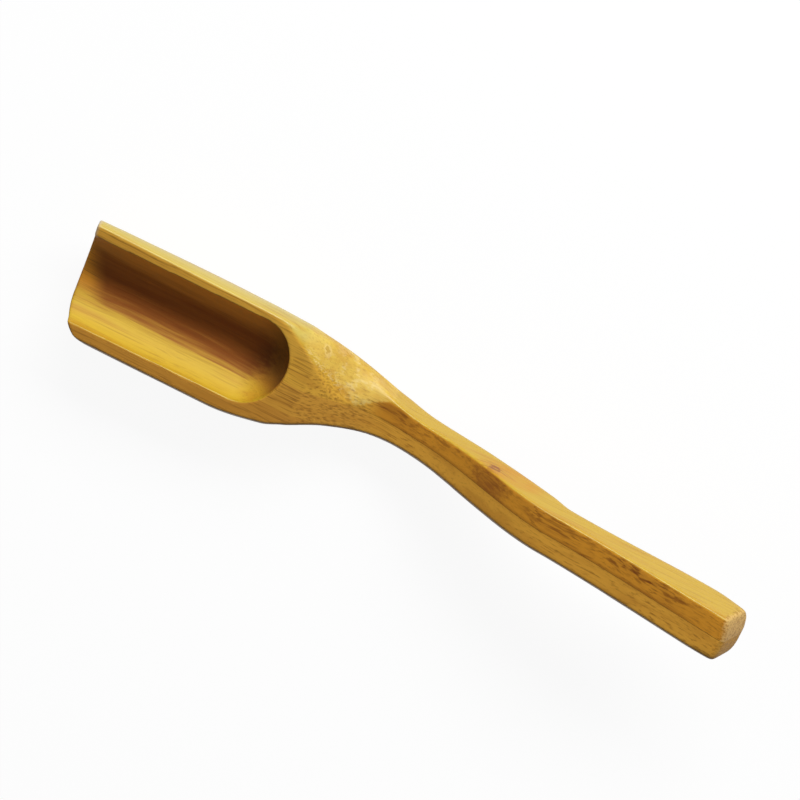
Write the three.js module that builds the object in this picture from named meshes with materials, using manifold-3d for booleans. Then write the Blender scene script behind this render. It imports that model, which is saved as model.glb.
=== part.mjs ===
// Bamboo tea scoop. Four strips of bamboo are glued side by side on edge into a blank, and the blank is then
// carved: a half-round bowl with a trough that is open at the tip, a crowned shoulder, and a squarish handle
// that climbs in an S and swells towards its end.
// Millimetres, +Z up. X runs along the scoop, from the tip (-X) to the end of the handle (+X), and Y across it.
// The scoop stands on the flat sole under its bowl. The origin is on the sole's plane, under mid length.

import * as THREE from 'three';
import { mergeVertices } from 'three/addons/utils/BufferGeometryUtils.js';
import Module from 'manifold-3d';

// The glued blank
const CORE_STRIP_THICKNESS = 7.25;
const GLUE_FILM_THICKNESS = 0.125;

// The bowl
const BOWL_WIDTH = 30;
const BOWL_HEIGHT = 14.5;
const BOWL_FLANK_HEIGHT = 1.3;
const SOLE_WIDTH = 7;
const RIM_WALL = 3.2;

// The trough runs a little to the right towards its round end
const TROUGH_LENGTH = 55.9;
const TROUGH_DEPTH = 8.8;
const TROUGH_ROUND_END = 9.8;
const TROUGH_END_BLUNT = 0.04;
const TROUGH_DRIFT = 1.2;

// The tip curls up off the table. It is sawn a little askew, leans out under the rim and has rounded corners
const TIP_LIFT = 4.2;
const TIP_CURL_LENGTH = 8;
const BOW_LIFT = 2.8;
const BOW_LENGTH = 38;
const TIP_SKEW = 2;
const TIP_LEAN_DEGREES = 4.5;
const TIP_LEFT_RADIUS = 10;
const TIP_RIGHT_RADIUS = 0.6;

// Lengths along the scoop, one after the other from the trough's end to the end of the handle
const RIM_LAND_LENGTH = 5.3;
const SHOULDER_LENGTH = 19.7;
const NECK_LENGTH = 12.7;
const RISE_LENGTH = 33.1;
const BEND_LENGTH = 4.8;
const GRIP_LENGTH = 49.6;

// The shoulder, where the bowl narrows to the neck. It leaves the flat rim land at a crease
const SHOULDER_LEAD = 9.3;
const SHOULDER_LEFT_LEAD = 13.9;
const SHOULDER_TAIL = 10;
const SOLE_TAIL = 4;
const CREASE_LENGTH = 1.2;
const CREASE_DROP = 0.35;
const CROWN_PEAK_SETBACK = 10.9;
const CROWN_RUNOUT = 15;
const CROWN_FULLNESS = 1.8;
const CROWN_FULLNESS_AT_LAND = 1.25;

// Its right side is carved away to a broad crown, and its left side is cut in closer and stays nearly square
const TROUGH_END_RIGHT_REACH = 14.15;
const LAND_END_RIGHT_REACH = 12.75;
const CROWN_RIGHT_SHARE = 0.8;
const CROWN_RIGHT_SHARE_AT_LAND = 0.35;
const TROUGH_END_LEFT_REACH = 12.7;
const LAND_END_LEFT_REACH = 10.2;
const CROWN_PEAK_LEFT_REACH = 7.4;
const CROWN_LEFT_SHARE = 0.25;
const CROWN_LEFT_DEPTH = 0.15;

// Height of the handle's top face above the rim, with the neck below it
const NECK_DROP = 6.1;
const RISE_START_DROP = 4.1;
const BEND_HEIGHT = 8.5;
const KNEE_HEIGHT = 9;
const END_HEIGHT = 17.9;

// Thickness and width of the handle
const NECK_THICKNESS = 7.75;
const BEND_THICKNESS = 10.35;
const KNEE_THICKNESS = 8.6;
const SWELL_THICKNESS = 12.2;
const SWELL_SETBACK = 10;
const END_THICKNESS = 10.6;
const NECK_WIDTH = 9.1;
const MID_RISE_WIDTH = 10.5;
const KNEE_WIDTH = 10.8;
const END_WIDTH = 12.2;

// The handle's sawn end leans back and is bowed, furthest out a little to the left
const END_LEAN_DEGREES = 26;
const END_BOW_RADIUS = 18;
const END_BOW_OFFSET = 3;

// Sanded edges
const EDGE_RADIUS = 0.4;
const HANDLE_UNDERSIDE_RADIUS = 2.2;

// Tools reach this far past the wood that they cut
const CUT_MARGIN = 3;

// Facets
const BOWL_STEP = 6;
const SHOULDER_STEP = 2;
const HANDLE_STEP = 3;
const EDGE_STEPS = 5;
const BELLY_STEPS = 9;
const TROUGH_SIDE_STEPS = 10;
const TROUGH_END_STEPS = 9;
const CORNER_STEPS = 8;

const wasm = await Module();
wasm.setup();

// Stations along the scoop, counted from the tip
const landEnd = TROUGH_LENGTH + RIM_LAND_LENGTH;
const neck = landEnd + SHOULDER_LENGTH;
const riseStart = neck + NECK_LENGTH;
const bend = riseStart + RISE_LENGTH;
const knee = bend + BEND_LENGTH;
const scoopLength = knee + GRIP_LENGTH;
const shoulderStart = TROUGH_LENGTH - SHOULDER_LEAD;
const shoulderLeftStart = TROUGH_LENGTH - SHOULDER_LEFT_LEAD;
const shoulderEnd = neck + SHOULDER_TAIL;
const soleEnd = neck + SOLE_TAIL;
const crownPeak = neck - CROWN_PEAK_SETBACK;
const crownEnd = crownPeak + CROWN_RUNOUT;

// A smooth line through a few [station, value] points that never overshoots them and is level outside them
function lineThrough(points) {
  const rise = points.slice(1).map(([x, value], i) => (value - points[i][1]) / (x - points[i][0]));
  const slope = points.map((point, i) => {
    const before = rise[i - 1] ?? 0;
    const after = rise[i] ?? 0;
    return before * after > 0 ? (2 * before * after) / (before + after) : 0;
  });
  slope[points.length - 1] = rise[points.length - 2];
  return (x) => {
    const last = points.length - 1;
    if (x <= points[0][0]) return points[0][1];
    if (x >= points[last][0]) return points[last][1];
    const i = points.findIndex(([station]) => station > x) - 1;
    const span = points[i + 1][0] - points[i][0];
    const t = (x - points[i][0]) / span;
    const ease = t * t * (3 - 2 * t);
    const startPull = t * (1 - t) * (1 - t) * span * slope[i];
    const endPull = t * t * (t - 1) * span * slope[i + 1];
    return THREE.MathUtils.lerp(points[i][1], points[i + 1][1], ease) + startPull + endPull;
  };
}

// The carved form as lines along the scoop: the top face and the underside
const topLine = lineThrough([
  [landEnd, BOWL_HEIGHT],
  [landEnd + CREASE_LENGTH, BOWL_HEIGHT - CREASE_DROP],
  [neck, BOWL_HEIGHT - NECK_DROP],
  [riseStart, BOWL_HEIGHT - RISE_START_DROP],
  [bend, BOWL_HEIGHT + BEND_HEIGHT],
  [knee, BOWL_HEIGHT + KNEE_HEIGHT],
  [scoopLength, BOWL_HEIGHT + END_HEIGHT],
]);
const swell = scoopLength - SWELL_SETBACK;
const undersideLine = lineThrough([
  [0, TIP_LIFT],
  [TIP_CURL_LENGTH, BOW_LIFT],
  [BOW_LENGTH, 0],
  [soleEnd, 0],
  [riseStart, topLine(riseStart) - NECK_THICKNESS],
  [bend, topLine(bend) - BEND_THICKNESS],
  [knee, topLine(knee) - KNEE_THICKNESS],
  [swell, topLine(swell) - SWELL_THICKNESS],
  [scoopLength, topLine(scoopLength) - END_THICKNESS],
]);

// Each side of the scoop: its reach from the middle, and how far the flat top has turned into a crown, across the
// scoop and down its side
const handleReach = [
  [shoulderEnd, NECK_WIDTH / 2],
  [(riseStart + bend) / 2, MID_RISE_WIDTH / 2],
  [knee, KNEE_WIDTH / 2],
  [scoopLength, END_WIDTH / 2],
];
const rightSide = {
  reach: lineThrough([
    [shoulderStart, BOWL_WIDTH / 2],
    [TROUGH_LENGTH, TROUGH_END_RIGHT_REACH],
    [landEnd, LAND_END_RIGHT_REACH],
    ...handleReach,
  ]),
  crownAcross: lineThrough([
    [shoulderStart, 0],
    [landEnd, CROWN_RIGHT_SHARE_AT_LAND],
    [crownPeak, CROWN_RIGHT_SHARE],
    [crownEnd, 0],
  ]),
  crownDepth: 1,
};
const leftSide = {
  reach: lineThrough([
    [shoulderLeftStart, BOWL_WIDTH / 2],
    [TROUGH_LENGTH, TROUGH_END_LEFT_REACH],
    [landEnd, LAND_END_LEFT_REACH],
    [crownPeak, CROWN_PEAK_LEFT_REACH],
    ...handleReach,
  ]),
  crownAcross: lineThrough([[shoulderStart, 0], [crownPeak, CROWN_LEFT_SHARE], [crownEnd, 0]]),
  crownDepth: CROWN_LEFT_DEPTH,
};

// How far the crown has turned down along the scoop, and how round it is
const crownFullness = lineThrough([[landEnd, CROWN_FULLNESS_AT_LAND], [crownPeak, CROWN_FULLNESS]]);
function crownDown(x) {
  const { smoothstep } = THREE.MathUtils;
  return smoothstep(x, shoulderStart, TROUGH_LENGTH) * (1 - smoothstep(x, crownPeak, crownEnd));
}

// Cross-section of one side at a station, from the middle of the top round to the middle of the underside
function halfSection(x, { reach, crownAcross, crownDepth }) {
  const { lerp, smoothstep } = THREE.MathUtils;
  const top = topLine(x);
  const underside = undersideLine(x);
  const side = reach(x);
  const crown = crownDown(x) * crownDepth;
  const round = Math.min(HANDLE_UNDERSIDE_RADIUS, side / 2, (top - underside) / 2);
  const sole = lerp(SOLE_WIDTH / 2, side - round, smoothstep(x, landEnd, shoulderEnd));
  const flankFoot = lerp(BOWL_HEIGHT - BOWL_FLANK_HEIGHT, underside + round, smoothstep(x, shoulderStart, neck));
  const flankHead = lerp(top - EDGE_RADIUS, flankFoot + EDGE_RADIUS, crown);
  const flat = (side - EDGE_RADIUS) * (1 - crownAcross(x));
  const points = [[0, top]];
  const power = 2 / lerp(2, crownFullness(x), crown);
  for (let i = 0; i <= EDGE_STEPS; i++) {
    const angle = (i / EDGE_STEPS) * (Math.PI / 2);
    const out = Math.sin(angle) ** power;
    const up = Math.cos(angle) ** power;
    points.push([flat + (side - flat) * out, flankHead + (top - flankHead) * up]);
  }
  for (let i = 0; i <= BELLY_STEPS; i++) {
    const angle = (i / BELLY_STEPS) * (Math.PI / 2);
    const out = Math.cos(angle);
    const down = Math.sin(angle);
    points.push([sole + (side - sole) * out, lerp(flankFoot, underside, down)]);
  }
  points.push([0, underside]);
  return points;
}

// A closed ring in the plane across the scoop at a station, from its right half and its left one
function ring(x, right, left, middle = 0) {
  const mirrored = left.slice(1, -1).reverse().map(([y, z]) => [-y, z]);
  return [...right, ...mirrored].map(([y, z]) => new THREE.Vector3(x, middle + y, z));
}

// A closed body skinned over rings that have the same number of points, with both ends capped
function loft(rings) {
  const count = rings[0].length;
  const points = rings.flat();
  const triangles = [];
  for (let r = 0; r < rings.length - 1; r++) {
    for (let i = 0; i < count; i++) {
      const next = (i + 1) % count;
      const [a, b, c, d] = [r * count + i, r * count + next, (r + 1) * count + next, (r + 1) * count + i];
      triangles.push(a, c, b, a, d, c);
    }
  }
  const last = (rings.length - 1) * count;
  const middles = [rings[0], rings[rings.length - 1]].map((end) => {
    const middle = end.reduce((sum, point) => sum.add(point), new THREE.Vector3());
    return points.push(middle.divideScalar(count)) - 1;
  });
  for (let i = 0; i < count; i++) {
    const next = (i + 1) % count;
    triangles.push(middles[0], i, next);
    triangles.push(middles[1], last + next, last + i);
  }
  const geometry = new THREE.BufferGeometry().setFromPoints(points);
  geometry.setIndex(triangles);
  return geometry;
}

// Geometry to a solid that can be cut, and back
function solid(geometry) {
  const bare = geometry.clone();
  bare.deleteAttribute('normal');
  bare.deleteAttribute('uv');
  const merged = mergeVertices(bare);
  const vertProperties = new Float32Array(merged.attributes.position.array);
  const triVerts = new Uint32Array(merged.index.array);
  return new wasm.Manifold(new wasm.Mesh({ numProp: 3, vertProperties, triVerts }));
}
function surface(cut) {
  const mesh = cut.getMesh();
  const geometry = new THREE.BufferGeometry();
  geometry.setAttribute('position', new THREE.BufferAttribute(mesh.vertProperties, 3));
  geometry.setIndex(new THREE.BufferAttribute(mesh.triVerts, 1));
  return geometry;
}

// Evenly spaced stations from one to another, the last left out
function stations(from, to, step) {
  const count = Math.max(1, Math.round((to - from) / step));
  return Array.from({ length: count }, (_, i) => from + ((to - from) * i) / count);
}

// The carved outside, from a little before the tip to a little past the end of the handle
function carvedOutside() {
  const along = [
    ...stations(-CUT_MARGIN, shoulderLeftStart, BOWL_STEP),
    ...stations(shoulderLeftStart, shoulderEnd, SHOULDER_STEP),
    ...stations(shoulderEnd, scoopLength, HANDLE_STEP),
    scoopLength,
    scoopLength + CUT_MARGIN,
  ];
  return loft(along.map((x) => ring(x, halfSection(x, rightSide), halfSection(x, leftSide))));
}

// The trough's cutter: a half-ellipse channel, open above the rim and past the tip, with a bowl-shaped end
function troughCutter() {
  const roundStart = TROUGH_LENGTH - TROUGH_ROUND_END;
  const halfWidth = BOWL_WIDTH / 2 - RIM_WALL;
  const section = (x, share) => {
    const half = [[0, BOWL_HEIGHT + CUT_MARGIN], [halfWidth * share, BOWL_HEIGHT + CUT_MARGIN]];
    for (let i = 0; i <= TROUGH_SIDE_STEPS; i++) {
      const angle = (i / TROUGH_SIDE_STEPS) * (Math.PI / 2);
      const out = halfWidth * share * Math.cos(angle);
      const down = TROUGH_DEPTH * share * Math.sin(angle);
      half.push([out, BOWL_HEIGHT - down]);
    }
    return ring(x, half, half, (TROUGH_DRIFT * x) / TROUGH_LENGTH);
  };
  const rings = [section(-CUT_MARGIN, 1)];
  for (let i = 0; i < TROUGH_END_STEPS; i++) {
    const angle = (i / TROUGH_END_STEPS) * (Math.PI / 2);
    rings.push(section(roundStart + TROUGH_ROUND_END * Math.sin(angle), Math.cos(angle)));
  }
  rings.push(section(TROUGH_LENGTH, TROUGH_END_BLUNT));
  return loft(rings);
}

// An outline in plan as a tall block that leans back by an angle, true to the outline at one height
function leaningBlock(outline, height, degrees) {
  const depth = BOWL_HEIGHT + END_HEIGHT + 2 * CUT_MARGIN;
  const block = new THREE.ExtrudeGeometry(outline, { depth, bevelEnabled: false, curveSegments: CORNER_STEPS });
  const slope = Math.tan(THREE.MathUtils.degToRad(degrees));
  block.translate(0, 0, -CUT_MARGIN - height);
  block.applyMatrix4(new THREE.Matrix4().makeShear(0, 0, 0, 0, -slope, 0));
  return block.translate(0, 0, height);
}

// What the saw leaves at the tip, askew in plan, with the rest of the scoop
function tipBlock() {
  const wide = BOWL_WIDTH / 2 + EDGE_RADIUS;
  const askew = Math.atan2(TIP_SKEW, BOWL_WIDTH);
  const tipAt = (y) => (BOWL_WIDTH / 2 - y) * Math.tan(askew);
  const leftY = TIP_LEFT_RADIUS - wide;
  const rightY = wide - TIP_RIGHT_RADIUS;
  const leftX = tipAt(leftY) + TIP_LEFT_RADIUS / Math.cos(askew);
  const rightX = tipAt(rightY) + TIP_RIGHT_RADIUS / Math.cos(askew);
  const far = scoopLength + 2 * CUT_MARGIN;
  const outline = new THREE.Shape();
  outline.moveTo(far + END_HEIGHT, wide);
  outline.lineTo(rightX, wide);
  outline.absarc(rightX, rightY, TIP_RIGHT_RADIUS, Math.PI / 2, Math.PI + askew, false);
  outline.absarc(leftX, leftY, TIP_LEFT_RADIUS, Math.PI + askew, 1.5 * Math.PI, false);
  outline.lineTo(far + END_HEIGHT, -wide);
  return leaningBlock(outline, (BOW_LIFT + BOWL_HEIGHT) / 2, -TIP_LEAN_DEGREES);
}

// What the saw leaves at the end of the handle, with the rest of the scoop, which is wider
function endBlock() {
  const wide = BOWL_WIDTH / 2 + CUT_MARGIN;
  const turn = Math.asin(Math.min(0.9, (END_WIDTH / 2 + END_BOW_OFFSET + CUT_MARGIN) / END_BOW_RADIUS));
  const bowMiddle = scoopLength - END_BOW_RADIUS;
  const start = bowMiddle + END_BOW_RADIUS * Math.cos(turn);
  const far = -BOWL_WIDTH;
  const outline = new THREE.Shape();
  outline.moveTo(far, -wide);
  outline.lineTo(start, -wide);
  outline.absarc(bowMiddle, -END_BOW_OFFSET, END_BOW_RADIUS, -turn, turn, false);
  outline.lineTo(start, wide);
  outline.lineTo(far, wide);
  return leaningBlock(outline, undersideLine(scoopLength), END_LEAN_DEGREES);
}

// A slab of the blank between two upright planes across Y
function slab(low, high) {
  const length = scoopLength + 2 * CUT_MARGIN;
  const height = BOWL_HEIGHT + END_HEIGHT + 2 * CUT_MARGIN;
  const box = new THREE.BoxGeometry(length, high - low, height);
  return box.translate(scoopLength / 2, (low + high) / 2, height / 2 - CUT_MARGIN);
}

const sawn = solid(carvedOutside()).intersect(solid(tipBlock())).intersect(solid(endBlock()));
const carved = sawn.subtract(solid(troughCutter()));

// Each strip and each glue film is the share of the carved blank between its two faces
const scoop = new THREE.Group();
function addShare(name, low, high, colour, roughness) {
  const geometry = surface(carved.intersect(solid(slab(low, high))));
  geometry.translate(-scoopLength / 2, 0, 0);
  const material = new THREE.MeshStandardMaterial({ color: colour, roughness, metalness: 0 });
  const mesh = new THREE.Mesh(geometry, material);
  mesh.name = name;
  scoop.add(mesh);
}

const outside = BOWL_WIDTH / 2 + CUT_MARGIN;
const filmHalf = GLUE_FILM_THICKNESS / 2;
addShare('right_wall_strip', CORE_STRIP_THICKNESS + filmHalf, outside, 0xc9a042, 0.5);
addShare('right_glue_line', CORE_STRIP_THICKNESS - filmHalf, CORE_STRIP_THICKNESS + filmHalf, 0x6b4218, 0.4);
addShare('right_core_strip', filmHalf, CORE_STRIP_THICKNESS - filmHalf, 0xab7428, 0.5);
addShare('middle_glue_line', -filmHalf, filmHalf, 0x6b4218, 0.4);
addShare('left_core_strip', filmHalf - CORE_STRIP_THICKNESS, -filmHalf, 0xb98a3a, 0.5);
addShare('left_glue_line', -CORE_STRIP_THICKNESS - filmHalf, filmHalf - CORE_STRIP_THICKNESS, 0x6b4218, 0.4);
addShare('left_wall_strip', -outside, -CORE_STRIP_THICKNESS - filmHalf, 0xc39a40, 0.5);

export default scoop;
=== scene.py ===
import math

import bpy
import numpy as np
from mathutils import Matrix, Vector


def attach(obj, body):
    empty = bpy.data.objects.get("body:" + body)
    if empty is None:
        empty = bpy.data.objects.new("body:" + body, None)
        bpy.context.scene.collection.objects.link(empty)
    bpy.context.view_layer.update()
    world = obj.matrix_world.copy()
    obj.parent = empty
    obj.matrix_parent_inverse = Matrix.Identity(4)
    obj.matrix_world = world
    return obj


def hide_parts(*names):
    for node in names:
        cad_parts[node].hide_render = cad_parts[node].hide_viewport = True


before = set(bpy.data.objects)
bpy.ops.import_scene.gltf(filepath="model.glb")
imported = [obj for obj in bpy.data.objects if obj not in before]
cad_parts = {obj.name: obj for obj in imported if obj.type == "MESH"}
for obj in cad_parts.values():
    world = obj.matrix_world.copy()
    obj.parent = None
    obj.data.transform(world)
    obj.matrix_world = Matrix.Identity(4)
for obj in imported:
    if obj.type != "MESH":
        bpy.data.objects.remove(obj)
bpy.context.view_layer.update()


# The carved blank. Strips of bamboo are glued side by side on edge, and the block is then carved and sanded as if
# it were one piece of wood: a half-round bowl with a trough open at the tip, a crowned shoulder, and a squarish
# handle that climbs in an S. Sizes are in millimetres, with stations counted from the tip.
bowl_width, bowl_height, bowl_flank_height, sole_width = 30.0, 14.5, 1.3, 7.0
trough_length, trough_depth, trough_round_end, trough_drift = 55.9, 8.8, 9.8, 1.2
rim_wall, trough_end_blunt = 3.2, 0.02
tip_lift, tip_curl_length, bow_lift, bow_length = 4.2, 8.0, 2.8, 38.0
tip_skew, tip_lean, tip_left_radius, tip_right_radius = 2.0, math.radians(-4.5), 8.6, 1.5

rim_land_length, shoulder_length, neck_length = 5.3, 19.7, 12.7
rise_length, bend_length, grip_length = 33.1, 4.8, 49.6
land_end = trough_length + rim_land_length
neck = land_end + shoulder_length
rise_start = neck + neck_length
bend = rise_start + rise_length
knee = bend + bend_length
scoop_length = knee + grip_length

shoulder_lead, shoulder_left_lead, shoulder_tail, sole_tail = 9.3, 13.9, 10.0, 4.0
shoulder_start, shoulder_end = trough_length - shoulder_lead, neck + shoulder_tail
crease_length, crease_drop = 1.2, 0.35
crown_peak_setback, crown_runout = 10.9, 15.0
crown_peak = neck - crown_peak_setback
crown_end = crown_peak + crown_runout
crown_share, crown_share_at_land = 0.96, 0.4
crown_fullness_at_peak, crown_fullness_at_land = 1.5, 1.25

neck_drop, rise_start_drop, bend_climb, knee_climb, end_climb = 6.1, 4.1, 8.5, 9.0, 17.9
neck_top, rise_start_top = bowl_height - neck_drop, bowl_height - rise_start_drop
bend_top, knee_top, end_height = bowl_height + bend_climb, bowl_height + knee_climb, bowl_height + end_climb
neck_thickness, bend_thickness, knee_thickness, swell_thickness, end_thickness = 7.75, 10.35, 8.6, 12.2, 10.6
swell_setback = 10
neck_width, mid_rise_width, knee_width, end_width, end_taper = 9.1, 10.5, 10.8, 12.2, 0.2
end_lean, end_bow_radius, end_bow_offset, end_allowance = math.radians(26), 18.0, 3.0, 0.35

trough_end_right_reach, land_end_right_reach = 14.15, 12.75
trough_end_left_reach, land_end_left_reach, crown_peak_left_reach = 13.55, 11.05, 8.0
spare_for_bevel_at_tip, spare_for_bevel_at_bowl, spare_for_bevel_on_handle = 1.1, 0.85, 0.7
right_edge_rounding, left_edge_bevel, handle_underside_radius = 0.4, 1.1, 2.2
round_edge, straight_bevel = 2.0, 1.0
cut_margin = 3.0


def line_through(*points):
    """A smooth line through a few (station, value) points that never overshoots them and is level outside them."""
    stations, values = np.array(points, float).T
    rise = np.diff(values) / np.diff(stations)
    pull = np.zeros(len(values))
    for i in range(1, len(values) - 1):
        before, after = rise[i - 1], rise[i]
        pull[i] = 2 * before * after / (before + after) if before * after > 0 else 0
    pull[-1] = rise[-1]

    def line(x):
        x = np.clip(x, stations[0], stations[-1])
        i = np.clip(np.searchsorted(stations, x, side="right") - 1, 0, len(stations) - 2)
        span = stations[i + 1] - stations[i]
        t = (x - stations[i]) / span
        ease = t * t * (3 - 2 * t)
        level = values[i] * (1 - ease) + values[i + 1] * ease
        return level + t * (1 - t) ** 2 * span * pull[i] + t * t * (t - 1) * span * pull[i + 1]

    return line


def smooth_step(x, low, high):
    """0 below low, 1 above high, and smooth between them."""
    t = np.clip((x - low) / (high - low), 0, 1)
    return t * t * (3 - 2 * t)


def between(low, high, share):
    """The value that lies this share of the way from low to high."""
    return low + (high - low) * share


top_line = line_through(
    (land_end, bowl_height),
    (land_end + crease_length, bowl_height - crease_drop),
    (neck, neck_top),
    (rise_start, rise_start_top),
    (bend, bend_top),
    (knee, knee_top),
    (scoop_length, end_height),
)
swell = scoop_length - swell_setback
underside_line = line_through(
    (0, tip_lift),
    (tip_curl_length, bow_lift),
    (bow_length, 0),
    (neck + sole_tail, 0),
    (rise_start, rise_start_top - neck_thickness),
    (bend, bend_top - bend_thickness),
    (knee, knee_top - knee_thickness),
    (swell, float(top_line(swell)) - swell_thickness),
    (scoop_length, end_height - end_thickness),
)
handle_reach = (
    (shoulder_end, neck_width / 2),
    ((rise_start + bend) / 2, mid_rise_width / 2),
    (knee, knee_width / 2),
    (scoop_length, end_width / 2 - end_taper),
)
right_reach = line_through(
    (shoulder_start, bowl_width / 2),
    (trough_length, trough_end_right_reach),
    (land_end, land_end_right_reach),
    *handle_reach,
)
left_reach = line_through(
    (0, bowl_width / 2 + spare_for_bevel_at_tip),
    (trough_length - shoulder_left_lead, bowl_width / 2 + spare_for_bevel_at_bowl),
    (trough_length, trough_end_left_reach),
    (land_end, land_end_left_reach),
    (crown_peak, crown_peak_left_reach),
    *((station, half_width + spare_for_bevel_on_handle) for station, half_width in handle_reach),
)
right_crown = line_through(
    (shoulder_start, 0), (land_end, crown_share_at_land), (crown_peak, crown_share), (crown_end, 0)
)
crown_fullness = line_through((land_end, crown_fullness_at_land), (crown_peak, crown_fullness_at_peak))


def carved_side(x, reach, edge, edge_fullness, crown_across, crown_depth, edge_steps=14, belly_steps=40):
    """One side of the carved outside at each station in x, from the middle of the top to that of the underside."""
    top, underside, side = top_line(x), underside_line(x), reach(x)
    rounding = np.minimum(handle_underside_radius, np.minimum(side / 2, (top - underside) / 2))
    sole = between(sole_width / 2, side - rounding, smooth_step(x, land_end, shoulder_end))
    foot_share = smooth_step(x, shoulder_start, neck)
    flank_foot = between(bowl_height - bowl_flank_height, underside + rounding, foot_share)
    crowned = smooth_step(x, shoulder_start, trough_length) * (1 - smooth_step(x, crown_peak, crown_end))
    crown_down = crown_depth * crowned
    flank_head = between(top - edge, flank_foot + edge, crown_down)
    flat = (side - edge) * (1 - crown_across(x))
    power = 2 / between(edge_fullness, crown_fullness(x), crown_down)
    turn = np.linspace(0, math.pi / 2, edge_steps + 1)[None, :]
    belly = np.linspace(0, math.pi / 2, belly_steps + 1)[None, :]
    edge_out, edge_up = np.sin(turn) ** power, np.clip(np.cos(turn), 0, 1) ** power
    middle = np.zeros_like(x)
    y = np.hstack([middle, between(flat, side, edge_out), between(sole, side, np.cos(belly)), middle])
    z = np.hstack([top, between(flank_head, top, edge_up), between(flank_foot, underside, np.sin(belly)), underside])
    return y, z


def carved_rings(x):
    """Closed rings round the carved outside, one for each station in x. Only the right side has a crown."""
    x = x[:, None]
    right_y, right_z = carved_side(x, right_reach, right_edge_rounding, round_edge, right_crown, 1.0)
    left_y, left_z = carved_side(x, left_reach, left_edge_bevel, straight_bevel, np.zeros_like, 0.0)
    y = np.hstack([right_y, -left_y[:, -2:0:-1]])
    z = np.hstack([right_z, left_z[:, -2:0:-1]])
    return np.stack([np.broadcast_to(x, y.shape), y, z], 2)


def trough_rings(side_steps=40, end_steps=40):
    """Rings of the gouge that hollows the trough: a half ellipse, open above the rim, with a bowl-shaped end."""
    turn = np.linspace(0, math.pi / 2, end_steps + 1)[:-1]
    x = np.concatenate([[-cut_margin], trough_length - trough_round_end * (1 - np.sin(turn)), [trough_length]])
    share = np.concatenate([[1.0], np.cos(turn), [trough_end_blunt]])[:, None]
    angle = np.linspace(0, math.pi / 2, side_steps + 1)[None, :]
    out = (bowl_width / 2 - rim_wall) * share * np.cos(angle)
    down = bowl_height - trough_depth * share * np.sin(angle)
    above = np.full_like(share, bowl_height + cut_margin)
    y = np.hstack([np.zeros_like(share), out[:, :1], out])
    z = np.hstack([above, above, down])
    y = np.hstack([y, -y[:, -2:0:-1]]) + trough_drift * x[:, None] / trough_length
    z = np.hstack([z, z[:, -2:0:-1]])
    return np.stack([np.broadcast_to(x[:, None], y.shape), y, z], 2)


def arc(x, y, radius, start, stop, steps=24):
    """Points along an arc in plan round (x, y)."""
    angle = np.linspace(start, stop, steps)
    return list(zip(x + radius * np.cos(angle), y + radius * np.sin(angle)))


def leaning_block(outline, true_height, lean):
    """Rings of a tall block over an outline in plan, which leans back and is true to the outline at one height."""
    x, y = np.array(outline).T
    heights = (-cut_margin, end_height + cut_margin)
    return np.stack([np.stack([x - (z - true_height) * math.tan(lean), y, np.full_like(x, z)], 1) for z in heights])


def tip_block():
    """What the saw leaves at the tip: an end askew in plan, with its two corners rounded."""
    wide = float(left_reach(0))
    askew = math.atan2(tip_skew, bowl_width)
    far = scoop_length + end_height
    outline = [(far, -wide)]
    for radius, y, start, stop in (
        (tip_left_radius, tip_left_radius - wide, 1.5 * math.pi, math.pi + askew),
        (tip_right_radius, wide - tip_right_radius, math.pi + askew, math.pi / 2),
    ):
        x = (bowl_width / 2 - y) * math.tan(askew) + radius / math.cos(askew)
        outline += arc(x, y, radius, start, stop)
    return leaning_block(outline + [(far, wide)], (bow_lift + bowl_height) / 2, tip_lean)


def end_block():
    """What the saw leaves at the end of the handle, with the rest of the scoop, which is wider."""
    wide, far = bowl_width / 2 + cut_margin, -bowl_width
    turn = math.asin((end_width / 2 + end_bow_offset + cut_margin) / end_bow_radius)
    bow = arc(scoop_length + end_allowance - end_bow_radius, -end_bow_offset, end_bow_radius, turn, -turn)
    outline = [(far, wide), (bow[0][0], wide), *bow, (bow[-1][0], -wide), (far, -wide)]
    return leaning_block(outline, float(underside_line(scoop_length)), end_lean)


def skin(name, rings):
    """A closed mesh object skinned over rings that have the same number of points."""
    count, around = rings.shape[:2]
    r, i = np.meshgrid(np.arange(count - 1), np.arange(around), indexing="ij")
    j = (i + 1) % around
    quads = np.stack([r * around + i, (r + 1) * around + i, (r + 1) * around + j, r * around + j], 2)
    ends = [list(range(around)), list(range(count * around - 1, (count - 1) * around - 1, -1))]
    mesh = bpy.data.meshes.new(name)
    mesh.from_pydata(rings.reshape(-1, 3).tolist(), [], quads.reshape(-1, 4).tolist() + ends)
    made = bpy.data.objects.new(name, mesh)
    bpy.context.scene.collection.objects.link(made)
    return made


def settled_mesh(made):
    """The object's mesh as its modifiers leave it, as a plain mesh."""
    return bpy.data.meshes.new_from_object(made.evaluated_get(bpy.context.evaluated_depsgraph_get()))


ring_spacing, grit_size = 0.6, 0.25
blank = skin("blank", carved_rings(np.arange(-cut_margin, scoop_length + cut_margin, ring_spacing)))
gouge, tip_saw, end_saw = skin("gouge", trough_rings()), skin("tip_saw", tip_block()), skin("end_saw", end_block())
for tool, operation in ((tip_saw, "INTERSECT"), (end_saw, "INTERSECT"), (gouge, "DIFFERENCE")):
    cut = blank.modifiers.new(tool.name, "BOOLEAN")
    cut.object, cut.operation, cut.solver = tool, operation, "MANIFOLD"
grit = blank.modifiers.new("grit", "REMESH")
grit.mode, grit.voxel_size, grit.use_smooth_shade = "VOXEL", grit_size, True
blank.data = settled_mesh(blank)
blank.modifiers.clear()
for tool in (gouge, tip_saw, end_saw):
    bpy.data.objects.remove(tool)


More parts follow.
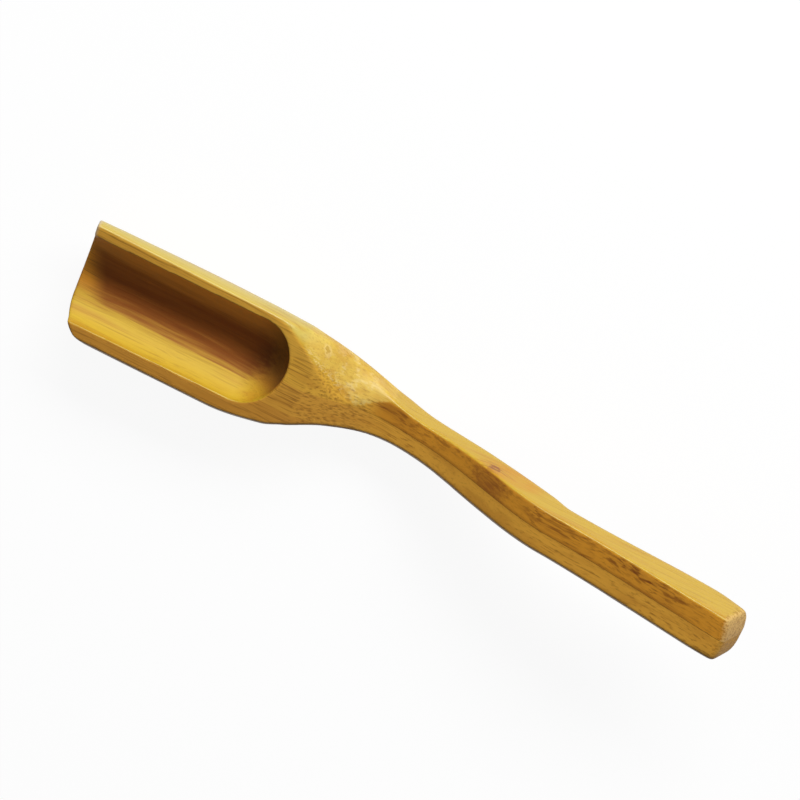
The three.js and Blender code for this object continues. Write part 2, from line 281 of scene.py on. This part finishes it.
def sand(mesh, rounds, pressure):
    """Eases edges: each round moves every point towards the middle of its neighbours, by the pressure there."""
    points = np.zeros(len(mesh.vertices) * 3)
    mesh.vertices.foreach_get("co", points)
    points = points.reshape(-1, 3)
    press = pressure(*points.T)
    edges = np.zeros(len(mesh.edges) * 2, int)
    mesh.edges.foreach_get("vertices", edges)
    edges = edges.reshape(-1, 2)
    edges = edges[(press[edges] > 0).any(1)]
    touched = np.unique(edges)
    a, b = np.searchsorted(touched, edges).T
    count, worked, press = len(touched), points[touched], press[touched, None]
    neighbours = np.bincount(np.concatenate([a, b]), minlength=count)[:, None]
    for _ in range(rounds):
        total = [np.bincount(a, worked[b, k], count) + np.bincount(b, worked[a, k], count) for k in range(3)]
        worked += press * (np.stack(total, 1) / neighbours - worked)
    points[touched] = worked
    mesh.vertices.foreach_set("co", points.ravel())
    mesh.update()


light_hand, firm_hand = 0.5, 0.6
tip_slant = 0.067


def all_over(x, y, z):
    """The pressure on the whole scoop."""
    return np.full_like(x, light_hand)


def tip_cut(x, y, z):
    """The pressure on the edges of the slanting saw cut at the tip."""
    return firm_hand * (1 - smooth_step(x - tip_slant * (bowl_width / 2 - y), 1.6, 3.2))


def tip_left_corner(x, y, z):
    """The pressure on the tip's left corner, which is worn rounder than the right one."""
    return firm_hand * (1 - smooth_step(x, 3, 6)) * (1 - smooth_step(y, -8, -4))


def tip_left_rim(x, y, z):
    """The pressure on the rim at that corner."""
    return firm_hand * (1 - smooth_step(x, 3, 7)) * (1 - smooth_step(y, -12, -9)) * smooth_step(z, 10, 12)


def handle_end(x, y, z):
    """The pressure on the end of the handle."""
    return firm_hand * smooth_step(x, scoop_length - 12, scoop_length - 6)


def handle_end_left(x, y, z):
    """The pressure on the left of that end, which is the rounder half."""
    return firm_hand * smooth_step(x, scoop_length - 12, scoop_length - 4) * smooth_step(-y, -2, 1)


for rounds, area in (
    (8, all_over),
    (3, tip_cut),
    (8, tip_left_corner),
    (20, tip_left_rim),
    (20, handle_end),
    (60, handle_end_left),
):
    sand(blank.data, rounds, area)


# The strips. Each is the share of the carved blank between its two glued faces, so the outside runs on from strip
# to strip without a step. Bamboo's fibre bundles lie along the strip, and show as streaks along the faces and as
# dots wherever a curve cuts across them.
strip_thickness, film_thickness = 7.25, 0.125
slab_size = 3 * scoop_length
crisp_edge = math.radians(55)
millimetre, millimetres_in_metre = 0.001, 1000


class Grain:
    """A socket of a node tree that Python's operators work on."""

    def __init__(self, tree, socket=None):
        self.tree, self.socket = tree, socket

    def node(self, kind, settings=(), inputs=(), output=0):
        """A node of any kind, with its settings first and then the values or links of its sockets."""
        made = self.tree.nodes.new(kind)
        for name, value in dict(settings).items():
            setattr(made, name, value)
        for name, value in dict(inputs).items():
            if isinstance(value, Grain):
                self.tree.links.new(value.socket, made.inputs[name])
            else:
                made.inputs[name].default_value = value
        return Grain(self.tree, made.outputs[output])

    def feed(self, socket):
        self.tree.links.new(self.socket, socket)

    def math(self, operation, *values):
        return self.node("ShaderNodeMath", {"operation": operation}, dict(enumerate(values)))

    def __add__(self, other):
        return self.math("ADD", self, other)

    __radd__ = __add__

    def __mul__(self, other):
        return self.math("MULTIPLY", self, other)

    __rmul__ = __mul__

    def __sub__(self, other):
        return self.math("SUBTRACT", self, other)

    def __rsub__(self, other):
        return self.math("SUBTRACT", other, self)

    def __truediv__(self, other):
        return self.math("DIVIDE", self, other)

    def __pow__(self, other):
        return self.math("POWER", self, other)

    def __abs__(self):
        return self.math("ABSOLUTE", self)

    def fade(self, low, high):
        """0 below low, 1 above high, and smooth between them."""
        ends = {"Value": self, "From Min": low, "From Max": high}
        return self.node("ShaderNodeMapRange", {"interpolation_type": "SMOOTHSTEP"}, ends)

    def within(self, low, high, ease):
        """1 from low to high, easing to 0 outside."""
        return self.fade(low - ease, low + ease) * (1 - self.fade(high - ease, high + ease))

    def tint(self, under, over):
        """The under colour turned into the over colour by this much."""
        return self.node("ShaderNodeMix", {"data_type": "RGBA"}, {0: self, 6: under, 7: over}, output=2)

    def moved(self, operation, by):
        return self.node("ShaderNodeVectorMath", {"operation": operation}, {0: self, 1: by})

    def part(self, axis):
        return self.node("ShaderNodeSeparateXYZ", (), {0: self}, output=axis)

    def noise(self, x, y, z, detail=2.0, roughness=0.5, output=0):
        """Noise at this place, with so many grains to the millimetre each way."""
        place = self.moved("MULTIPLY", (x, y, z))
        inputs = {"Vector": place, "Scale": 1.0, "Detail": detail, "Roughness": roughness}
        return self.node("ShaderNodeTexNoise", (), inputs, output)


share = bpy.data.node_groups.new("share_of_the_blank", "GeometryNodeTree")


def share_input(name, kind):
    """A named input of the tree that cuts a share out of the blank, known to its modifier by what this returns."""
    return share.interface.new_socket(name, in_out="INPUT", socket_type=kind).identifier


share_input("Blank", "NodeSocketGeometry")
low_face = share_input("Low face", "NodeSocketFloat")
high_face = share_input("High face", "NodeSocketFloat")
slab_reach = share_input("Reach", "NodeSocketFloat")
finish = share_input("Finish", "NodeSocketMaterial")
share.interface.new_socket("Share", in_out="OUTPUT", socket_type="NodeSocketGeometry")

new_node = Grain(share).node
given = {socket.name: Grain(share, socket) for socket in share.nodes.new("NodeGroupInput").outputs}
low, high, reach = given["Low face"], given["High face"], given["Reach"]
size = new_node("ShaderNodeCombineXYZ", (), {"X": reach, "Y": high - low, "Z": reach})
place = new_node("ShaderNodeCombineXYZ", (), {"Y": (high + low) * 0.5})
slab = new_node("GeometryNodeMeshCube", (), {"Size": size}, "Mesh")
placed = new_node("GeometryNodeTransform", (), {"Geometry": slab, "Translation": place})
meet = share.nodes.new("GeometryNodeMeshBoolean")
meet.operation, meet.solver = "INTERSECT", "MANIFOLD"
meeting = [socket for socket in meet.inputs if socket.name in ("Mesh", "Mesh 2") and socket.enabled][-1]
for met in (given["Blank"], placed):
    met.feed(meeting)
real = new_node("GeometryNodeRealizeInstances", (), {"Geometry": Grain(share, meet.outputs["Mesh"])})
dressed = new_node("GeometryNodeSetMaterial", (), {"Geometry": real, "Material": given["Finish"]})
dressed.feed(share.nodes.new("NodeGroupOutput").inputs["Share"])


def cut_share(node, low, high, material):
    """Cuts the piece between two upright planes out of the blank, and puts it in the place of its solid."""
    piece = bpy.data.objects.new(node + "_share", blank.data)
    bpy.context.scene.collection.objects.link(piece)
    cut = piece.modifiers.new("share", "NODES")
    cut.node_group = share
    cut[low_face], cut[high_face] = low, high
    cut[slab_reach], cut[finish] = slab_size, material
    piece.data = settled_mesh(piece)
    piece.modifiers.clear()
    piece.data.transform(Matrix.Scale(millimetre, 4) @ Matrix.Translation((-scoop_length / 2, 0, 0)))
    piece.data.shade_smooth()
    piece.data.set_sharp_from_angle(angle=crisp_edge)
    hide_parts(node)
    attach(piece, "root")


def srgb(red, green, blue):
    """A colour as it is seen, from 0 to 255, turned into what the shader takes."""
    parts = [value / 255 for value in (red, green, blue)]
    return [p / 12.92 if p <= 0.04045 else ((p + 0.055) / 1.055) ** 2.4 for p in parts] + [1.0]


gouge_slack, floor_slack = 0.5, 0.4
crown_slant, crown_corner_station, crown_corner_across, handle_corner_station = 0.6, 58, 10.3, 73.2
crown_stretch, slope_stretch, climb_stretch = (57, 84), (62, 79), (96, 122)


class Spot:
    """Where a point of the scoop lies, in millimetres, and which way its surface faces."""

    def __init__(self, tree):
        self.new = Grain(tree).node
        in_metres = self.new("ShaderNodeTexCoord", output="Object")
        self.place = in_metres.moved("MULTIPLY", (millimetres_in_metre,) * 3)
        self.station = self.place.part("X") + scoop_length / 2
        self.across, self.height = self.place.part("Y"), self.place.part("Z")
        self.depth = bowl_height - self.height
        self.from_tip = self.station - (bowl_width / 2 - self.across) * (tip_skew / bowl_width)
        bowed_end = scoop_length - (self.across + end_bow_offset) ** 2 / (2 * end_bow_radius)
        above_foot = self.height - (end_height - end_thickness)
        self.from_end = bowed_end - above_foot * math.tan(end_lean) - self.station
        facing_right = self.new("ShaderNodeTexCoord", output="Normal").part("Y")
        self.sideways = abs(facing_right).fade(0.12, 0.6)
        self.leftwards = 1 - facing_right.fade(-0.5, -0.15)
        self.upwards = 1 - self.sideways
        self.speckle = self.place.noise(0.9, 1.6, 1.6, 2.0, 0.6) - 0.5
        self.in_trough = self.trough_walls()
        # Painted pool of light: 1 near the tip of the trough, where light falls in past the end of the far wall; it
        # is painted orange and kept clear of the trough's painted shade.
        self.tip_light_patch = 1 - (self.from_tip + 0.4 * self.across).fade(0.5, 6)
        # Painted bounce light: on the upper far wall of the trough most dark marks are left out, which lightens it as
        # light from the lit near wall would.
        self.dark_marks_kept = 1 - 0.75 * self.in_trough * self.across.fade(3, 8)
        self.past_crown_edge, self.on_crown = self.crown_facet()
        self.on_slope = self.station.within(*slope_stretch, 2) * (1 - 0.6 * self.sideways)
        self.on_climb = self.station.within(*climb_stretch, 4)

    def trough_walls(self):
        """1 on the walls and the floor of the trough, by the gouge's own shape made a little larger."""
        middle = self.station * (trough_drift / trough_length)
        out = (self.across - middle) / (bowl_width / 2 - rim_wall + gouge_slack)
        down = self.depth / (trough_depth + floor_slack)
        beyond = (self.station - (trough_length - trough_round_end)) / (trough_round_end + gouge_slack)
        hollow = out ** 2 + down ** 2 + beyond.math("MAXIMUM", beyond, 0) ** 2
        return (1 - hollow.fade(0.97, 1.03)) * self.depth.fade(0.3, 1.6)

    def crown_facet(self):
        """How far past the edge of the knife's slanting facet on the shoulder's right, and 1 on that facet."""
        past_edge = self.across + crown_slant * (self.station - crown_corner_station) - crown_corner_across
        past_edge = past_edge + 3 * self.speckle
        before_handle = self.across - crown_slant * (self.station - handle_corner_station) + 2 * self.speckle
        on_crown = past_edge.fade(-0.6, 1.4) * before_handle.fade(-0.4, 0.6) * self.station.within(*crown_stretch, 1)
        return past_edge, on_crown


def from_oval(x, y, middle, radii):
    """Distance from the middle of an oval mark, which is 1 on its rim."""
    return (((x - middle[0]) / radii[0]) ** 2 + ((y - middle[1]) / radii[1]) ** 2) ** 0.5


knot_place, knot_size = (110.9, 14.7), (1.6, 0.9)


class Fibres:
    """The fibres of one strip, which lie along it, sway a little, and pass round its knot."""

    def __init__(self, spot, shift, knot):
        sway = spot.place.noise(0.035, 0.12, 0.12, 1.0, output="Color").moved("SUBTRACT", (0.5, 0.5, 0.5))
        laid = spot.place.moved("ADD", shift).moved("ADD", sway.moved("MULTIPLY", (0, 2.4, 2.4)))
        if knot:
            near_knot = 1 - from_oval(spot.station, spot.height, knot, knot_size).fade(0.4, 4.5)
            laid = laid.moved("ADD", spot.new("ShaderNodeCombineXYZ", (), {"Z": near_knot * 1.8}))
        self.laid = laid
        self.threads = laid.noise(0.035, 2.4, 2.4, 3.0, 0.6)
        self.broad = laid.noise(0.03, 0.3, 0.3, 2.0)
        cells = {"Vector": laid.moved("MULTIPLY", (0.42, 1.2, 1.2)), "Scale": 1.0, "Randomness": 0.9}
        self.bundles = 1 - spot.new("ShaderNodeTexVoronoi", (), cells, "Distance").fade(0.06, 0.6)


# Painted light: sideways-facing surfaces take a flank tone by which way they face. The right flank, which faces the
# lamp, is painted a paler lemon yellow, palest on the bowl; the left flank keeps a plain bamboo brown.
side_tone, bowl_side_tone, left_side_tone = srgb(205, 167, 40), srgb(212, 187, 82), srgb(186, 130, 46)
# The first tone is painted light for the shoulder's lit facet; the pale and deep tones are the wood's own mottling.
crown_facet_light_tone, pale_tone, deep_tone = srgb(242, 206, 100), srgb(244, 220, 150), srgb(190, 124, 38)
handle_tone_start, bowl_side_end = (75, 82), (58, 66)
# The second stretch is where a painted highlight runs along the facet's edge.
bruised_stretch, facet_edge_highlight_stretch = (64, 78), (58, 70)


def carved_tones(spot, bowl_tone, handle_tone):
    """The strip's tone, brown on the tops, with painted light by facing: flanks towards the lamp painted lemon yellow
    and the shoulder's slanting facet a lit yellow; pale bruises, and a painted highlight speckled along that facet's
    edge.
    """
    colour = spot.station.fade(*handle_tone_start).tint(bowl_tone, handle_tone)
    # Painted light: the flank facing the lamp is painted yellower than the tops.
    on_bowl_side = spot.across.fade(11, 13) * (1 - spot.station.fade(*bowl_side_end))
    flank = spot.leftwards.tint(on_bowl_side.tint(side_tone, bowl_side_tone), left_side_tone)
    colour = spot.sideways.tint(colour, flank)
    # Painted light: the shoulder's slanting facet, which faces the lamp, is painted a lit lemon yellow.
    colour = (spot.on_crown * (1 - 0.5 * spot.sideways) * 0.8).tint(colour, crown_facet_light_tone)
    mottle = spot.place.noise(0.3, 0.5, 0.5, 3.0, 0.6)
    bruised = spot.on_crown * mottle.fade(0.5, 0.66) * spot.station.within(*bruised_stretch, 4)
    colour = (bruised * 0.5).tint(colour, pale_tone)
    colour = (spot.on_crown * (1 - mottle).fade(0.5, 0.68) * 0.2).tint(colour, deep_tone)
    # Painted highlight: pale specks along the facet's edge, where it catches the lamp.
    facet_edge_highlight = spot.past_crown_edge.within(-0.2, 1.0, 0.7) * spot.station.within(*facet_edge_highlight_stretch, 2)
    return (facet_edge_highlight * spot.speckle.fade(-0.05, 0.12) * 0.5).tint(colour, pale_tone)


# Painted light and shade in the trough: one tone where the lamp lights the near wall, a warmer one in the far rim's
# shadow, and an orange painted pool of light at the tip.
trough_tone_in_lamp_light, trough_tone_in_shadow, tip_light_tone = srgb(214, 177, 44), srgb(244, 164, 68), srgb(240, 160, 40)


def trough_tones(colour, spot):
    """The trough's near wall, where the lamp reaches, is painted yellow and its floor and far wall, in the far rim's
    shadow, warmer: lit and shaded copies of one colour. At the tip, a painted pool of light.
    """
    # Painted light and shade: the tone changes where the far rim's shadow line crosses the trough.
    walls = spot.across.fade(-8, -3).tint(trough_tone_in_lamp_light, trough_tone_in_shadow)
    # Painted pool of light at the tip, in the shaded part of the trough.
    walls = (spot.tip_light_patch * spot.across.fade(-7, -3)).tint(walls, tip_light_tone)
    return (spot.in_trough * 0.9).tint(colour, walls)


fibre_tone = srgb(140, 84, 22)


def fibre_figure(colour, spot, fibres):
    """Streaks along the strip, lines on the rim land behind the trough, and dots on the slope behind that."""
    colour = (fibres.broad.fade(0.45, 0.7) * 0.4 * spot.dark_marks_kept).tint(colour, deep_tone)
    streaks = fibres.threads.fade(0.48, 0.74) * (0.7 - 0.35 * spot.sideways) * (1 - 0.6 * spot.on_climb)
    colour = (streaks * spot.dark_marks_kept).tint(colour, fibre_tone)
    on_land = spot.station.within(trough_length, land_end, 0.8) * spot.upwards
    lines = fibres.laid.noise(0.1, 1.5, 1.5, 1.0).fade(0.52, 0.66)
    colour = (lines * on_land * 0.5).tint(colour, fibre_tone)
    dots = fibres.bundles * (0.03 + 0.4 * spot.on_slope * (1 - 0.5 * spot.on_crown))
    return dots.tint(colour, fibre_tone)


amber_tone, knot_tone = srgb(204, 144, 20), srgb(146, 80, 16)
blotch_tone, flame_tone = srgb(146, 78, 28), srgb(134, 72, 18)
amber_lead, amber_size = 4, (11, 5)
blotch_across, blotch_size = 2.8, (5.4, 4.2)
flames_start, flames_end, dark_neck_end = (77, 81), (164, 171), (83, 92)


def knot_figure(colour, spot, fibres, knot):
    """A knot on the flank in a patch of amber, with a dark blotch beside it on the top and flames along the ridge."""
    laid = fibres.laid
    from_knot = from_oval(spot.station, spot.height, knot, knot_size)
    ragged = laid.noise(0.4, 1.2, 1.2, 3.0, 0.6) - 0.5
    streaks = laid.noise(0.16, 0.9, 0.9, 3.0, 0.65)
    amber = from_oval(spot.station, spot.height, (knot[0] + amber_lead, knot[1]), amber_size) ** 2
    amber = (1 - amber.fade(0.2, 1)) * (0.45 + 0.5 * streaks.fade(0.42, 0.6))
    colour = (spot.sideways * amber).tint(colour, amber_tone)
    torn = from_knot + ragged * 1.4 + spot.speckle * 1.6
    swirl = 0.35 * (1 - torn.fade(0.5, 1.4)) + 0.45 * torn.within(0.45, 1.0, 0.35)
    swirl = swirl + 0.5 * (1 - from_knot.fade(1, 4.5)) * laid.noise(0.15, 1.6, 1.6).fade(0.48, 0.6)
    colour = (spot.sideways * swirl).tint(colour, knot_tone)
    blotch = from_oval(spot.station, spot.across, (knot[0], blotch_across), blotch_size) + ragged * 1.5
    blotch = (1 - blotch.fade(0.45, 1.15)) * (0.5 + 0.5 * streaks.fade(0.4, 0.58))
    colour = (spot.upwards * blotch * 0.7).tint(colour, blotch_tone)
    ridge = (0.12 + 0.88 * spot.across.fade(0.8, 3.6)) * (1 - spot.station.fade(*flames_end))
    ridge = ridge * spot.station.fade(*flames_start) * (1 - spot.on_crown)
    flames = laid.noise(0.12, 1.5, 1.5, 2.0, 0.5).fade(0.47, 0.62) * (0.3 + 0.6 * fibres.broad.fade(0.4, 0.6))
    flames = flames * (1 - 0.5 * spot.on_climb) + 0.42 * (1 - spot.station.fade(*dark_neck_end))
    return (spot.upwards * ridge * flames).tint(colour, flame_tone)


scar_place, scar_size = (62.3, 10.7), (1.1, 0.9)


def scar_figure(colour, spot, scar):
    """A small healed scar, brown in the middle with a pale rim."""
    from_scar = from_oval(spot.station, spot.height, scar, scar_size) + spot.speckle * 1.2
    colour = (from_scar.within(0.55, 1.1, 0.3) * 0.35).tint(colour, pale_tone)
    return ((1 - from_scar.fade(0.4, 0.7)) * 0.3).tint(colour, fibre_tone)


# Painted shade for the trough's floor and for the far side of its round end.
trough_floor_shade_tone, round_end_shade_tone = srgb(150, 76, 10), srgb(72, 34, 8)
round_end_warmth_start, round_end_shade_start = (46, 54), (44, 54)


def trough_warmth_and_painted_shade(colour, spot, fibres):
    """The trough is painted darker, as painted shade: most of all along its floor and on the far side of its round
    end, where the lamp does not reach. It is also warmer towards the round end.
    """
    runs = fibres.laid.noise(0.04, 0.8, 0.8)
    # Painted shade, deepest along the trough's floor.
    pooled_shade = (spot.depth + 3.5 * (runs - 0.5)).fade(5.5, 8.3) * (0.72 + 0.3 * runs)
    pooled_shade = pooled_shade * (1 - spot.tip_light_patch) * spot.dark_marks_kept
    # Warmer towards the round end.
    colour = (spot.in_trough * spot.station.fade(*round_end_warmth_start) * 0.5).tint(colour, amber_tone)
    colour = (spot.in_trough * pooled_shade).tint(colour, trough_floor_shade_tone)
    # Painted shadow on the far side of the round end.
    round_end = spot.station.fade(*round_end_shade_start) * spot.across.fade(-9, 0)
    return (spot.in_trough * round_end * 0.75).tint(colour, round_end_shade_tone)


# Painted highlight for the far corner of the tip, on end grain.
tip_corner_highlight_tone = srgb(216, 190, 150)
end_stretch = (170, 174)


def end_grain(colour, spot, end_tone):
    """Cut across, the fibres show as pale grain with frayed specks; the far corner of the tip is painted paler still,
    a painted highlight on its rounded edge. Gives the colour, and 1 on the handle's end.
    """
    on_end = (1 - (spot.from_end + 3 * spot.speckle).fade(0.0, 1.0)) * spot.station.fade(*end_stretch)
    colour = (on_end * 0.8).tint(colour, end_tone)
    frayed = (1 - spot.from_end.fade(0.6, 2.6)) * spot.speckle.fade(-0.04, 0.1)
    colour = (frayed * 0.45).tint(colour, fibre_tone)
    # Painted highlight: the far corner of the tip, where its rounded edge catches the lamp.
    tip_corner_highlight = (1 - spot.from_tip.fade(0.5, 1.5)) * spot.across.fade(11, 12.5)
    return (tip_corner_highlight * 0.7).tint(colour, tip_corner_highlight_tone), on_end


dark_joint_stretch, joint_start, worn_stretch = (84, 168), (74, 86), (58, 80)
dark_joint, faint_joint = 0.45, 0.15
oiled_roughness, thread_roughness, sheen = 0.27, 0.12, 0.45
relief_strength, relief_height = 0.4, 0.0001


def bamboo(name, shift, bowl_tone, handle_tone, end_tone, knot=None, scar=None, joint_tone=None):
    """Oiled bamboo, with its fibre bundles a solid pattern so that every cut through it shows the right figure.
    The shift picks another part of the pattern for each strip."""
    material = bpy.data.materials.new(name)
    material.use_nodes = True
    shader = material.node_tree.nodes["Principled BSDF"]
    spot = Spot(material.node_tree)
    fibres = Fibres(spot, shift, knot)
    colour = carved_tones(spot, bowl_tone, handle_tone)
    colour = trough_tones(colour, spot)
    colour = fibre_figure(colour, spot, fibres)
    if knot:
        colour = knot_figure(colour, spot, fibres, knot)
    if scar:
        colour = scar_figure(colour, spot, scar)
    by_joint = (1 - abs(spot.across).fade(0.1, 1.0)) * spot.station.within(*dark_joint_stretch, 6) * spot.upwards
    colour = (by_joint * (dark_joint if knot else faint_joint)).tint(colour, flame_tone)
    # Painted shade in the trough, and warmer towards its round end.
    colour = trough_warmth_and_painted_shade(colour, spot, fibres)
    colour, on_end = end_grain(colour, spot, end_tone)
    if joint_tone:
        on_handle = spot.station.fade(*joint_start) * (1 - abs(spot.across).fade(1, 2)) * (1 - on_end)
        colour = (on_handle * 0.8).tint(colour, joint_tone)
    colour.feed(shader.inputs["Base Color"])

    worn = spot.station.within(*worn_stretch, 4) * 0.2 + spot.in_trough * 0.32 + on_end * 0.3
    (oiled_roughness + thread_roughness * fibres.threads + worn).feed(shader.inputs["Roughness"])
    relief = fibres.threads * 0.5 - fibres.bundles * (0.2 + 0.9 * spot.on_slope)
    bump = {"Height": relief, "Strength": relief_strength, "Distance": relief_height}
    spot.new("ShaderNodeBump", (), bump).feed(shader.inputs["Normal"])
    shader.inputs["Specular IOR Level"].default_value = sheen
    return material


half_film = film_thickness / 2
outer_face = bowl_width / 2 + cut_margin
right_end_tone, left_end_tone = srgb(222, 182, 112), srgb(208, 156, 62)
right_wall_bamboo = bamboo(
    "right_wall_bamboo",
    shift=(0, 0, 0),
    bowl_tone=srgb(236, 180, 66),
    handle_tone=side_tone,
    end_tone=right_end_tone,
    scar=scar_place,
)
cut_share("right_wall_strip", strip_thickness + half_film, outer_face, right_wall_bamboo)
right_core_bamboo = bamboo(
    "right_core_bamboo",
    shift=(31, 7, 3),
    bowl_tone=srgb(244, 186, 66),
    handle_tone=srgb(228, 156, 44),
    end_tone=right_end_tone,
    knot=knot_place,
)
cut_share("right_core_strip", half_film, strip_thickness - half_film, right_core_bamboo)
left_core_bamboo = bamboo(
    "left_core_bamboo",
    shift=(67, 19, 11),
    bowl_tone=srgb(230, 168, 62),
    handle_tone=srgb(238, 174, 62),
    end_tone=left_end_tone,
)
cut_share("left_core_strip", half_film - strip_thickness, -half_film, left_core_bamboo)
left_wall_bamboo = bamboo(
    "left_wall_bamboo",
    shift=(103, 29, 17),
    bowl_tone=srgb(216, 152, 56),
    handle_tone=side_tone,
    end_tone=left_end_tone,
)
cut_share("left_wall_strip", -outer_face, -strip_thickness - half_film, left_wall_bamboo)


# The glue lines. Cured glue fills the joints between the strips, a thin film that was carved flush with them. It
# shows as a fine dark line down the middle of the handle, and on the bowl it has the colour of the wood beside it.
glue = bamboo(
    "cured_glue",
    shift=(31, 7, 3),
    bowl_tone=srgb(230, 170, 62),
    handle_tone=side_tone,
    end_tone=left_end_tone,
    joint_tone=srgb(112, 62, 20),
)
for glue_node, joint in (
    ("right_glue_line", strip_thickness),
    ("middle_glue_line", 0),
    ("left_glue_line", -strip_thickness),
):
    cut_share(glue_node, joint - half_film, joint + half_film, glue)
bpy.data.objects.remove(blank)


# The table and the studio. The scoop lies on a plain white table, with one long soft lamp low on its right and a dim
# room all round. The camera looks down on it from the right of the bowl, turned a little. Sizes are in metres.
table_reach, table_grey, table_roughness = 2, 0.42, 0.9
table_glow, glow_share = 1.28, 0.72
floor_mesh = bpy.data.meshes.new("table_top")
table_corners = [(x * table_reach, y * table_reach, 0) for x, y in ((-1, -1), (1, -1), (1, 1), (-1, 1))]
floor_mesh.from_pydata(table_corners, [], [(0, 1, 2, 3)])
floor = bpy.data.objects.new("table_top", floor_mesh)
bpy.context.scene.collection.objects.link(floor)
white = bpy.data.materials.new("white_table")
white.use_nodes = True
table = Grain(white.node_tree)
table_shader = white.node_tree.nodes["Principled BSDF"]
table_shader.inputs["Base Color"].default_value = (table_grey, table_grey, table_grey, 1)
table_shader.inputs["Roughness"].default_value = table_roughness
table_shader.inputs["Specular IOR Level"].default_value = 0.0
glow = table.node("ShaderNodeEmission", (), {"Color": (1, 1, 1, 1), "Strength": table_glow})
seen, mirrored, through = (
    table.node("ShaderNodeLightPath", output=kind)
    for kind in ("Is Camera Ray", "Is Glossy Ray", "Is Transmission Ray")
)
seen = seen.math("MAXIMUM", seen.math("MAXIMUM", seen, mirrored), through)
paper = Grain(white.node_tree, table_shader.outputs[0])
lit_paper = table.node("ShaderNodeMixShader", (), {0: seen * glow_share, 1: paper, 2: glow})
lit_paper.feed(white.node_tree.nodes["Material Output"].inputs["Surface"])
floor_mesh.materials.append(white)

room_light = 0.13
room = bpy.data.worlds.new("dim_room")
room.use_nodes = True
room.node_tree.nodes["Background"].inputs["Color"].default_value = (1, 1, 1, 1)
room.node_tree.nodes["Background"].inputs["Strength"].default_value = room_light
bpy.context.scene.world = room

lamp_length, lamp_width, lamp_power, lamp_distance = 1.1, 0.34, 17.0, 1.2
lamp_aim, lamp_side = Vector((-0.02, 0, 0.012)), Vector((0.1, 0.88, 0.42))
lamp_data = bpy.data.lights.new("soft_lamp", "AREA")
lamp_data.shape, lamp_data.size, lamp_data.size_y, lamp_data.energy = "RECTANGLE", lamp_length, lamp_width, lamp_power
lamp = bpy.data.objects.new("soft_lamp", lamp_data)
lamp.location = lamp_aim + lamp_distance * lamp_side.normalized()
lamp.rotation_euler = (lamp_aim - lamp.location).to_track_quat("-Z", "Y").to_euler()
bpy.context.scene.collection.objects.link(lamp)

camera_aim, camera_distance, camera_roll = Vector((-0.00762, 0.00992, 0.0145)), 0.7, math.radians(27)
sensor_width, focal_pixels, picture_pixels = 36.0, 2941, 800
back = Vector((-0.0472, 0.4535, 0.8900)).normalized()
along = (Vector((1, 0, 0)) - back * back.x).normalized()
across = back.cross(along)
right = along * math.cos(camera_roll) + across * math.sin(camera_roll)
up = across * math.cos(camera_roll) - along * math.sin(camera_roll)
camera_data = bpy.data.cameras.new("camera")
camera_data.sensor_width, camera_data.lens = sensor_width, sensor_width * focal_pixels / picture_pixels
camera_data.clip_start, camera_data.clip_end = 0.01, 20
camera = bpy.data.objects.new("camera", camera_data)
turned = Matrix((right, up, back)).transposed().to_4x4()
camera.matrix_world = Matrix.Translation(camera_aim + camera_distance * back) @ turned
bpy.context.scene.collection.objects.link(camera)
bpy.context.scene.camera = camera
bpy.context.scene.view_settings.view_transform = "Standard"
